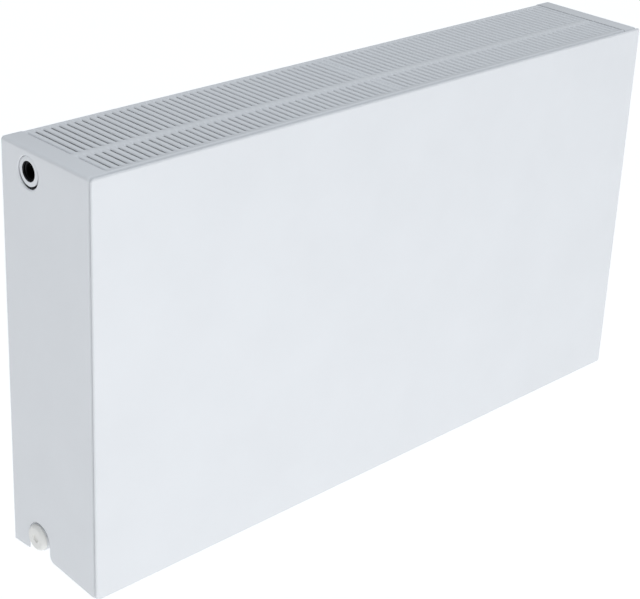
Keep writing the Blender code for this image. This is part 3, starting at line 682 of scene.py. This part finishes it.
def folded_sheet(points, height, sheet, bend, facing):
    """A sheet folded along the plan's points, standing on its lower edge."""
    bm = bmesh.new()
    sweep(bm, line(bm, points), (0, 0, height))
    inner = [e for e in bm.edges if len(e.link_faces) == 2]
    bevelled(bm, inner, bend, 3)
    tidy(bm)
    bm.faces.ensure_lookup_table()
    if bm.faces[0].normal.dot(Vector(facing)) < 0:
        bmesh.ops.reverse_faces(bm, faces=bm.faces)
    bmesh.ops.solidify(bm, geom=bm.faces[:], thickness=sheet)
    return bm


def convector(node, sizes):
    """A thin sheet folded into fins whose feet sit on the channels."""
    low, high = local_box(node)
    forward = 1 if node.startswith(("front", "middle")) else -1
    root, nose = (low.y, high.y) if forward > 0 else (high.y, low.y)
    foot, tip = 10.0 * MM / 2, 14.0 * MM / 2
    count = round((high.x - low.x - 2 * foot) / sizes.channel_pitch) + 1
    inset = forward * sizes.fin_sheet
    points = []
    for index in range(count):
        middle = low.x + foot + index * sizes.channel_pitch
        points += [(middle - foot, root + inset, low.z), (middle + foot, root + inset, low.z)]
        if index < count - 1:
            middle += sizes.channel_pitch / 2
            points += [(middle - tip, nose, low.z), (middle + tip, nose, low.z)]
    bm = folded_sheet(points, high.z - low.z, sizes.fin_sheet, sizes.fin_bend, (0, forward, 0))
    add_piece(f"{node}_enamelled", bm, "enamel", "radiator", [node])


def lug(node):
    """A hanging lug: two welded feet and the bridge that a bracket hooks behind."""
    low, high = local_box(node)
    middle, sheet = (low.x + high.x) / 2, 2.0 * MM
    half = 15.0 * MM
    points = [
        (low.x, low.y + sheet, low.z), (middle - half, low.y + sheet, low.z), (middle - half, high.y, low.z),
        (middle + half, high.y, low.z), (middle + half, low.y + sheet, low.z), (high.x, low.y + sheet, low.z),
    ]
    bm = folded_sheet(points, high.z - low.z, sheet, 1.8 * MM, (0, 1, 0))
    add_piece(f"{node}_enamelled", bm, "enamel", "radiator", [node])


# ---------------------------------------------------------------- fittings

# From the middle of the radiator's length to the tubes between its panels.
TUBE_X = 418.0 * MM


def tee(node, sizes, side, bore, depth, bare):
    """The tube between two panels with its socket to the side; bare is the radius of the unpainted bore, whose faces
    take the nearly black thread finish as painted shade.
    """
    low, high = local_box(node)
    z = (low.z + high.z) / 2
    face = side * max(abs(low.x), abs(high.x))

    def run(distance):
        return face - side * distance

    outer, chamfer = sizes.socket, 0.5 * MM
    back = abs(high.x - low.x)
    profile = [
        (run(back), 0), (run(back), outer), (run(chamfer), outer), (run(0.15 * MM), outer - 0.15 * MM),
        (run(0), outer - chamfer), (run(0), bare), (run(1.3 * MM), bore + 0.4 * MM), (run(depth), bore + 0.4 * MM),
        (run(depth + 0.3 * MM), bore - 1.2 * MM), (run(back - 8 * MM), bore - 1.2 * MM), (run(back - 8 * MM), 0),
    ]
    bm = lathe(profile, (0, HUB_LINE[0], z), "X", 56)
    tube = [(low.y, 0), (low.y, sizes.hub), (high.y, sizes.hub), (high.y, 0)]
    join(bm, lathe(tube, (side * TUBE_X, 0, z), "Y", 40))
    centre = Vector((0, HUB_LINE[0], z))
    if depth:
        lead, pitch = 1.5 * MM, sizes.thread_pitch
        turns = int((depth - lead) / pitch)
        start = run(lead) if side < 0 else run(lead + turns * pitch)
        join(bm, thread(start, turns, bore + 0.38 * MM, bore - 0.85 * MM, pitch, centre, "X", 40))

    def in_bore(point):
        spoke = point - centre
        spoke.x = 0
        return spoke.length < (bare + outer) / 2 - 0.5 * MM and abs(face - point.x) < back - 5 * MM

    look = "coat" if depth else "enamel"
    # Faces inside the bore take the nearly black thread finish: painted shade for the deep bore.
    add_piece(f"{node}_enamelled", bm, look, "radiator", [node], ("bare_steel_and_painted_shade", in_bore))


# A plug's section in mm: (inward from its tip, radius).
PLUG_SECTION = (
    (2.0, 0.0), (2.0, 4.0), (1.6, 4.6), (0.5, 4.8), (0.15, 5.0), (0.0, 5.5), (0.0, 12.0), (0.15, 13.0), (0.6, 13.8),
    (1.3, 14.5), (2.2, 15.2), (3.2, 15.8), (4.0, 16.0), (5.0, 16.0), (5.0, 9.4), (17.0, 9.4), (17.0, 0.0),
)


def plug(node, side):
    """A plug with a domed head, a shallow recess for its key and a plain shank."""
    low, high = local_box(node)
    tip = max(abs(low.x), abs(high.x))
    profile = [(side * (tip - inward * MM), radius * MM) for inward, radius in PLUG_SECTION]
    bm = lathe(profile, (0, HUB_LINE[0], (low.z + high.z) / 2), "X", 56)
    add_piece(f"{node}_moulded", bm, "white_plastic", "radiator", [node])


def nipple(node, sizes):
    """A connection nipple: a threaded end below a shoulder, and its tail."""
    low, high = local_box(node)
    x, y = (low.x + high.x) / 2, (low.y + high.y) / 2
    radius = (high.x - low.x) / 2
    bore, tail, shoulder = 9.0 * MM, 11.0 * MM, low.z + 7.5 * MM
    core = radius - 1.2 * MM
    profile = [
        (low.z, bore), (low.z, core - 0.3 * MM), (low.z + 0.5 * MM, core), (shoulder - 0.6 * MM, core),
        (shoulder - 0.5 * MM, radius - 0.3 * MM), (shoulder - 0.2 * MM, radius), (shoulder, radius), (shoulder, tail),
        (high.z, tail), (high.z, bore),
    ]
    bm = lathe(profile, (x, y, 0), "Z", 48, closed=True)
    turns = 3
    join(bm, thread(low.z + 0.4 * MM, turns, core - 0.05 * MM, radius, sizes.thread_pitch, (x, y, 0), "Z", 48))
    add_piece(f"{node}_turned", bm, "steel", "radiator", [node])


def spacer(node):
    """A plain ring between two panels."""
    low, high = local_box(node)
    x, z = (low.x + high.x) / 2, (low.z + high.z) / 2
    radius, wall = (high.x - low.x) / 2, 3.0 * MM
    profile = [(low.y, radius - wall), (low.y, radius), (high.y, radius), (high.y, radius - wall)]
    bm = lathe(profile, (x, 0, z), "Y", 40, closed=True)
    add_piece(f"{node}_enamelled", bm, "enamel", "radiator", [node])


def riser(sizes):
    """The supply pipe: straight up, then one bend into the valve hub."""
    low, high = local_box("riser_pipe")
    radius, bend = sizes.riser, 20.0 * MM
    x, y, top = low.x + radius, (low.y + high.y) / 2, high.z - radius
    bm = bmesh.new()
    place = Matrix.Translation((x, y, low.z))
    bmesh.ops.create_circle(bm, cap_ends=False, segments=28, radius=radius, matrix=place)
    edge = sweep(bm, bm.edges[:], (0, 0, top - bend - low.z))
    ring = list({v for e in edge for v in e.verts}) + edge
    made = bmesh.ops.spin(
        bm, geom=ring, cent=(x + bend, y, top - bend), axis=(0, 1, 0), dvec=(0, 0, 0), angle=pi / 2, steps=10,
        use_merge=False, use_duplicate=False,
    )["geom_last"]
    sweep(bm, [e for e in made if isinstance(e, bmesh.types.BMEdge)], (high.x - x - bend, 0, 0))
    tidy(bm)
    bmesh.ops.solidify(bm, geom=bm.faces[:], thickness=1.5 * MM)
    add_piece("riser_pipe_enamelled", bm, "enamel", "radiator", ["riser_pipe"])


# ---------------------------------------------------------------- valve


def hand_cap(sizes):
    """The protective cap: a moulded cup with grip grooves and a dished top."""
    low, high = CAP_LOW, CAP_HIGH
    radius = (high.z - low.z) / 2
    bore, floor = radius - 1.9 * MM, high.x - 1.8 * MM
    crown = high.x - 2.2 * MM
    profile = [(low.x, bore), (low.x, radius - 0.3 * MM), (low.x + 0.3 * MM, radius), (low.x + 2.0 * MM, radius)]
    profile += [(crown, radius)]
    profile += [(crown + 2.2 * MM * sin(a), radius - 2.2 * MM * (1 - cos(a))) for a in (0.4, 0.8, 1.2, pi / 2)]
    profile += [(high.x, 9.0 * MM), (high.x - 0.5 * MM, 8.0 * MM), (high.x - 0.5 * MM, 0.0)]
    inside = [(low.x, bore), (floor, bore), (floor, 0.0)]
    steps = sizes.grip_grooves * 3
    centre = (0, *HUB_LINE)
    bm = lathe(profile, centre, "X", steps)
    sides = [
        f for f in bm.faces
        if abs(f.normal.x) < 0.1 and f.calc_area() > 1e-6 and f.calc_center_median().x > low.x + 2.5 * MM
    ]
    sides.sort(key=lambda f: Vector((0, 1, 0)).angle(f.normal) * (1 if f.normal.z > 0 else -1))
    grooves = sides[::3]
    bmesh.ops.inset_individual(bm, faces=grooves, thickness=0.25 * MM, depth=-0.55 * MM, use_even_offset=True)
    join(bm, lathe(inside, centre, "X", steps))
    bmesh.ops.remove_doubles(bm, verts=bm.verts, dist=1e-6)
    bmesh.ops.recalc_face_normals(bm, faces=bm.faces)
    add_piece("hand_cap_moulded", bm, "white_plastic", "cap", ["hand_cap"])


def return_spring():
    """The drawn wire coil that pushes the stem out, made at one length; the real one shortens as the stem goes in."""
    low, high = local_box("return_spring")
    wire, turns, steps = 0.4 * MM, 3, 24
    radius = (high.z - low.z) / 2 - wire
    centre = Vector((0, *HUB_LINE))
    reach = high.x - low.x - 2 * wire
    bm = bmesh.new()
    place = Matrix.Translation(centre + Vector((low.x + wire, 0, radius))) @ Matrix.Rotation(pi / 2, 4, "X")
    bmesh.ops.create_circle(bm, cap_ends=False, segments=10, radius=wire, matrix=place)
    ring = bm.verts[:] + bm.edges[:]
    bmesh.ops.spin(
        bm, geom=ring, cent=centre, axis=(1, 0, 0), dvec=(reach / (turns * steps), 0, 0), angle=ALL_ROUND * turns,
        steps=turns * steps, use_merge=False, use_duplicate=False,
    )
    bmesh.ops.holes_fill(bm, edges=bm.edges[:], sides=12)
    tidy(bm)
    piece = add_piece("return_spring_drawn", bm, "steel", "radiator", ["return_spring"])
    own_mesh(piece)


# ---------------------------------------------------------------- operators


class RadiatorMaterials(bpy.types.Operator):
    """Makes the finishes and gives every CAD node one of them"""

    bl_idname = "radiator.materials"
    bl_label = "Materials"

    def execute(self, context):
        MATERIALS.update(make_materials(context.scene.radiator_finishes))
        looks = {"white_enamel": "enamel", "zinc_steel": "steel"}
        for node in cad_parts.values():
            for slot in node.material_slots:
                name = slot.material.name.split(".")[0] if slot.material else "white_enamel"
                slot.material = MATERIALS.get(looks.get(name, name), MATERIALS["enamel"])
        return {"FINISHED"}


class RadiatorFrontPlate(bpy.types.Operator):
    """Makes the flat front plate"""

    bl_idname = "radiator.front_plate"
    bl_label = "Front plate"

    def execute(self, context):
        front_plate(context.scene.radiator_sheets)
        return {"FINISHED"}


class RadiatorSideCovers(bpy.types.Operator):
    """Makes the two side covers with their rolled holes"""

    bl_idname = "radiator.side_covers"
    bl_label = "Side covers"

    def execute(self, context):
        for side in (-1, 1):
            side_cover(side, context.scene.radiator_sheets)
        return {"FINISHED"}


class RadiatorTopGrille(bpy.types.Operator):
    """Makes the slotted top grille"""

    bl_idname = "radiator.top_grille"
    bl_label = "Top grille"

    def execute(self, context):
        top_grille(context.scene.radiator_sheets)
        return {"FINISHED"}


class RadiatorPanels(bpy.types.Operator):
    """Makes the six pressed halves of the three water panels"""

    bl_idname = "radiator.panels"
    bl_label = "Water panels"

    def execute(self, context):
        for row in ("front", "middle", "rear"):
            for half in ("front", "back"):
                pressed_shell(f"{row}_panel_{half}_shell", context.scene.radiator_water)
        return {"FINISHED"}


class RadiatorConvectors(bpy.types.Operator):
    """Makes the folded convectors between the panels"""

    bl_idname = "radiator.convectors"
    bl_label = "Convectors"

    def execute(self, context):
        for row in ("front", "middle", "rear"):
            for end in ("left", "right"):
                convector(f"{row}_convector_{end}", context.scene.radiator_water)
        return {"FINISHED"}


class RadiatorLugs(bpy.types.Operator):
    """Makes the four hanging lugs"""

    bl_idname = "radiator.lugs"
    bl_label = "Hanging lugs"

    def execute(self, context):
        for height in ("top", "bottom"):
            for end in ("left", "right"):
                lug(f"lug_{height}_{end}")
        return {"FINISHED"}


class RadiatorFittings(bpy.types.Operator):
    """Makes the tees, plugs, spacers, nipples and riser pipe"""

    bl_idname = "radiator.fittings"
    bl_label = "Fittings"

    def execute(self, context):
        sizes = context.scene.radiator_water
        tee("hub_top_left", sizes, -1, 10.1 * MM, 16.0 * MM, 11.4 * MM)
        tee("hub_bottom_left", sizes, -1, 10.1 * MM, 0.0, 10.5 * MM)
        tee("hub_bottom_right", sizes, 1, 10.1 * MM, 0.0, 10.5 * MM)
        for node, side in (("plug_bottom_left", -1), ("plug_bottom_right", 1)):
            plug(node, side)
        for node in ("supply_nipple", "return_nipple"):
            nipple(node, sizes)
        for height in ("top", "bottom"):
            for end in ("left", "right"):
                spacer(f"spacer_{height}_{end}")
        riser(sizes)
        return {"FINISHED"}


class RadiatorSmallParts(bpy.types.Operator):
    """Rounds off the valve parts, clips, strap, strips and bridge plate"""

    bl_idname = "radiator.small_parts"
    bl_label = "Small parts"

    def execute(self, context):
        small = [
            ("nipple_bridge", "steel", "radiator", 0.4),
            ("grille_support", "coat", "radiator", 0.2),
            ("valve_hub", "enamel", "radiator", 0.4),
            ("valve_body", "brass", "radiator", 0.25),
            ("gland_nut", "brass", "radiator", 0.15),
            ("gland_o_ring", "rubber", "radiator", 0.3),
            ("valve_stem", "steel", "stem", 0.12),
            ("valve_disc", "rubber", "stem", 0.2),
            ("preset_ring", "grey_plastic", "preset_dial", 0.2),
        ]
        small += [(f"grille_clip_{i}", "coat", "radiator", 0.15) for i in range(1, 5)]
        small += [(f"bonding_strip_{i}", "adhesive", "radiator", 0.9) for i in range(1, 5)]
        for node, look, body, offset in small:
            add_piece(f"{node}_rounded", softened(node, offset * MM), look, body, [node])
        return {"FINISHED"}


class RadiatorValve(bpy.types.Operator):
    """Makes the hand cap and the valve's return spring"""

    bl_idname = "radiator.valve"
    bl_label = "Valve"

    def execute(self, context):
        hand_cap(context.scene.radiator_water)
        return_spring()
        return {"FINISHED"}


class RadiatorStage(bpy.types.Operator):
    """Makes the floor, the studio light and the camera"""

    bl_idname = "radiator.stage"
    bl_label = "Stage"

    def execute(self, context):
        stage = context.scene.radiator_stage
        make_floor(stage, context.scene.radiator_finishes)
        make_studio(stage)
        make_camera(stage)
        return {"FINISHED"}


def make_floor(stage, finish):
    """A wide pale floor, evenly lit like a light table so that it leaves no edge behind the object."""
    bm = bmesh.new()
    place = Matrix.Translation((0, 0, FRONT_LOW.z - stage.floor_drop))
    bmesh.ops.create_grid(bm, x_segments=1, y_segments=1, size=40.0, matrix=place)
    mesh = bpy.data.meshes.new("studio_floor")
    bm.to_mesh(mesh)
    bm.free()
    floor = bpy.data.objects.new("studio_floor", mesh)
    bpy.context.scene.collection.objects.link(floor)
    material, tree, shader, where = start_material("White floor, painted and lit")
    tint(tree, shader, where, finish.floor, 1.5, 0.99, 1.01)
    shader.inputs["Roughness"].default_value = 0.9
    shader.inputs["Emission Color"].default_value = (1.0, 1.0, 1.0, 1.0)
    shader.inputs["Emission Strength"].default_value = stage.floor_glow
    mesh.materials.append(material)


def make_studio(stage):
    """Soft light, strongest overhead and fading to little at the sides, and one large softbox in front."""
    world = bpy.data.worlds.new("Studio")
    bpy.context.scene.world = world
    world.use_nodes = True
    tree = world.node_tree
    tree.nodes.clear()
    where = add_node(tree, "ShaderNodeTexCoord").outputs["Generated"]
    apart = add_node(tree, "ShaderNodeSeparateXYZ", links={"Vector": where})
    up = add_node(
        tree, "ShaderNodeMapRange", {"From Min": 0.0, "From Max": 1.0, "To Min": 0.0, "To Max": stage.sky_up},
        {"Value": apart.outputs["Z"]},
    )
    left = add_node(
        tree, "ShaderNodeMapRange", {"From Min": -1.0, "From Max": 0.3, "To Min": -stage.sky_left, "To Max": 0.0},
        {"Value": apart.outputs["X"]},
    )
    glow = add_node(
        tree, "ShaderNodeMath", {1: stage.sky_side}, {0: up.outputs["Result"]}, operation="ADD"
    )
    total = add_node(
        tree, "ShaderNodeMath", links={0: glow.outputs["Value"], 1: left.outputs["Result"]}, operation="ADD"
    )
    tone = add_node(tree, "ShaderNodeValToRGB", links={"Fac": apart.outputs["Z"]})
    tone.color_ramp.elements[0].color = (0.995, 0.995, 1.0, 1.0)
    tone.color_ramp.elements[1].color = (0.92, 0.98, 1.04, 1.0)
    light = add_node(
        tree, "ShaderNodeBackground", links={"Color": tone.outputs["Color"], "Strength": total.outputs["Value"]}
    )
    add_node(tree, "ShaderNodeOutputWorld", links={"Surface": light.outputs["Background"]})
    lamp = bpy.data.lights.new("softbox_front", "AREA")
    lamp.shape = "RECTANGLE"
    lamp.size, lamp.size_y = 2.4, 1.6
    lamp.energy = stage.softbox
    box = bpy.data.objects.new("softbox_front", lamp)
    place, aim = Vector((-0.5, -2.5, 0.0)), Vector((0, 0, -0.2))
    box.location = place
    box.rotation_euler = (aim - place).to_track_quat("-Z", "Y").to_euler()
    bpy.context.scene.collection.objects.link(box)
    bpy.context.scene.view_settings.view_transform = "Standard"


def make_camera(stage):
    """The camera, on the left in front and a little above."""
    lens = bpy.data.cameras.new("camera")
    lens.sensor_width = 36.0
    lens.lens = stage.lens
    lens.shift_x, lens.shift_y = stage.shift
    lens.clip_end = 200.0
    camera = bpy.data.objects.new("camera", lens)
    camera.location = stage.camera_place
    camera.rotation_euler = stage.camera_turn
    bpy.context.scene.collection.objects.link(camera)
    bpy.context.scene.camera = camera


OPERATORS = (
    RadiatorMaterials,
    RadiatorFrontPlate,
    RadiatorSideCovers,
    RadiatorTopGrille,
    RadiatorPanels,
    RadiatorConvectors,
    RadiatorLugs,
    RadiatorFittings,
    RadiatorSmallParts,
    RadiatorValve,
    RadiatorStage,
)


class RadiatorSidebar(bpy.types.Panel):
    """Lists the radiator's pieces in the sidebar"""

    bl_idname = "VIEW3D_PT_radiator"
    bl_label = "Radiator"
    bl_space_type = "VIEW_3D"
    bl_region_type = "UI"
    bl_category = "Radiator"

    def draw(self, context):
        for operator in OPERATORS:
            self.layout.operator(operator.bl_idname)


GROUPS = {
    "radiator_sheets": SheetSizes,
    "radiator_water": WaterSizes,
    "radiator_finishes": Finishes,
    "radiator_stage": StageSizes,
}


def register():
    for group in GROUPS.values():
        bpy.utils.register_class(group)
    for operator in OPERATORS:
        bpy.utils.register_class(operator)
    bpy.utils.register_class(RadiatorSidebar)
    for name, group in GROUPS.items():
        setattr(bpy.types.Scene, name, PointerProperty(type=group))


def unregister():
    for name in GROUPS:
        delattr(bpy.types.Scene, name)
    bpy.utils.unregister_class(RadiatorSidebar)
    for operator in reversed(OPERATORS):
        bpy.utils.unregister_class(operator)
    for group in reversed(GROUPS.values()):
        bpy.utils.unregister_class(group)


def main():
    register()
    for operator in OPERATORS:
        getattr(bpy.ops.radiator, operator.bl_idname.split(".")[1])()


if __name__ == "__main__":
    main()
